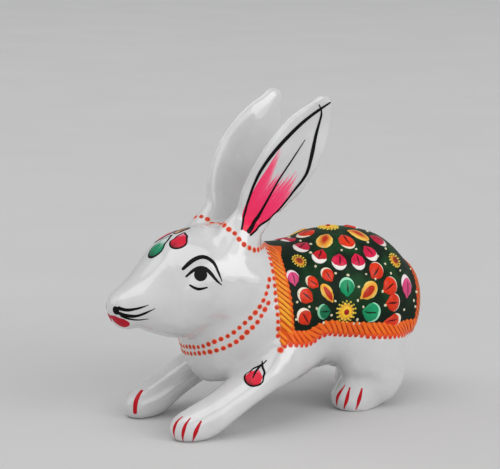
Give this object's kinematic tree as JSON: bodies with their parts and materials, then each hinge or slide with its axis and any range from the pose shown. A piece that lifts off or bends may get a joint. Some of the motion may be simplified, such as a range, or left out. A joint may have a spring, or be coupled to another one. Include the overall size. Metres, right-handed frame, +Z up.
{
  "type": "enamelled metal rabbit figurine",
  "caption": "Rabbit ornament cast in metal and enamelled white, with painted eyes, ears and a raised floral saddle cloth, for display on a shelf or table.",
  "frame": {"origin": "middle of the figure's length and width, on the surface that it stands on", "axes": "+Z up, -Y the way the rabbit faces, +X its left side"},
  "size_m": [0.0482, 0.1152, 0.1045],
  "materials": {
    "white_enamel": "glossy white enamel over cast metal",
    "cloth_enamel": "glossy dark green enamel ground with an orange rope border",
    "petal_enamel": "raised petals and blossoms in glossy red, pink, green and gold enamel",
    "line_enamel": "brushed black and red lines and dots under a clear gloss"
  },
  "bodies": {
    "root": {"rabbit": "white_enamel"}
  },
  "joints": []
}
